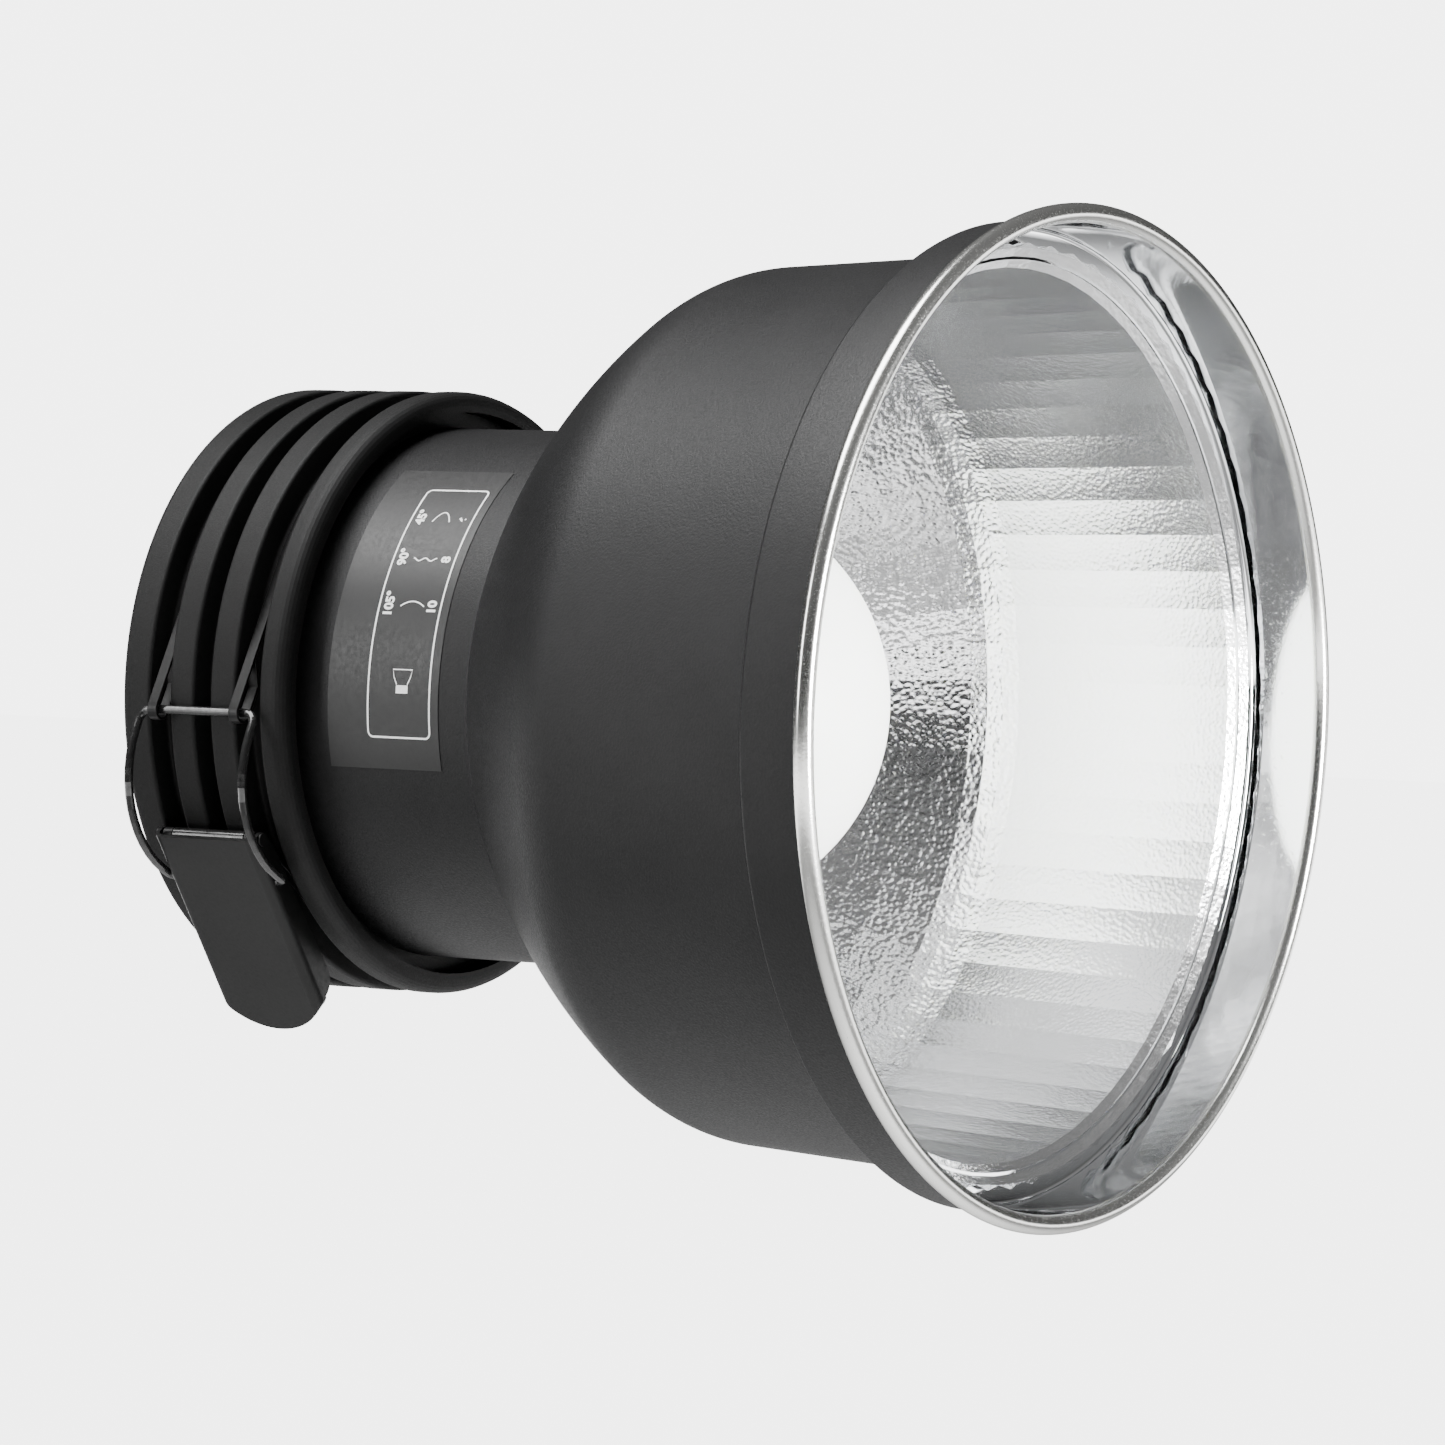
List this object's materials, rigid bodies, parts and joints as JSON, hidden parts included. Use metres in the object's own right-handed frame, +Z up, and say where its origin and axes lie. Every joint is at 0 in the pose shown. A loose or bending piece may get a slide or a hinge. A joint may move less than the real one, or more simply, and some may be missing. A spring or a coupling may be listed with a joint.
{
  "type": "studio flash reflector",
  "caption": "Round spun-metal studio flash reflector with a faceted bright inside, frosted dome and a rubber collar clamped by an over-centre strap latch.",
  "frame": {"origin": "on the optical axis, halfway along the collar's clamp bore", "axes": "+Y out of the back of the collar along the optical axis, +Z up, the latch on the -X side"},
  "size_m": [0.21, 0.198, 0.21],
  "materials": {
    "black_shell": "fine black powder coat outside, bare and bright inside the rim",
    "bright_liner": "bright anodised, faceted and finely hammered",
    "steel": "plain",
    "label_film": "satin with white print",
    "frosted_glass": "frosted",
    "black_rubber": "matte moulded",
    "latch_steel": "satin black",
    "black_wire": "gloss black"
  },
  "bodies": {
    "reflector": {"bowl_shell": "black_shell", "rim_wire": "steel", "facet_liner": "bright_liner", "neck_tube": "black_shell", "scale_label": "label_film", "glass_dome": "frosted_glass", "dome_ring": "black_shell", "rubber_collar": "black_rubber", "strap_rear": "latch_steel", "strap_front": "latch_steel"},
    "lever": {"lever": "latch_steel", "hinge_pin": "latch_steel", "pin_sleeve": "latch_steel"},
    "bail": {"bail": "black_wire"},
    "strap_tails": {"strap_tail_rear": "latch_steel", "strap_tail_front": "latch_steel"}
  },
  "joints": [
    {"name": "lever_hinge", "type": "hinge", "parent": "reflector", "child": "lever", "pos_m": [-0.06264, -0.0108, -0.02678], "axis": [0, 1, 0], "range_deg": [0, 75]},
    {"name": "bail_pivot", "type": "hinge", "parent": "lever", "child": "bail", "pos_m": [-0.05758, -0.0108, -0.03599], "axis": [0, 1, 0], "range_deg": [-60, 0]},
    {"name": "strap_flex", "type": "hinge", "parent": "reflector", "child": "strap_tails", "pos_m": [-0.05123, -0.0108, 0.03007], "axis": [0, 1, 0], "range_deg": [0, 2]}
  ],
  "couplings": [
    {"joint": "bail_pivot", "follows": "lever_hinge", "ratio": -0.735},
    {"joint": "strap_flex", "follows": "lever_hinge", "ratio": 0.02}
  ]
}
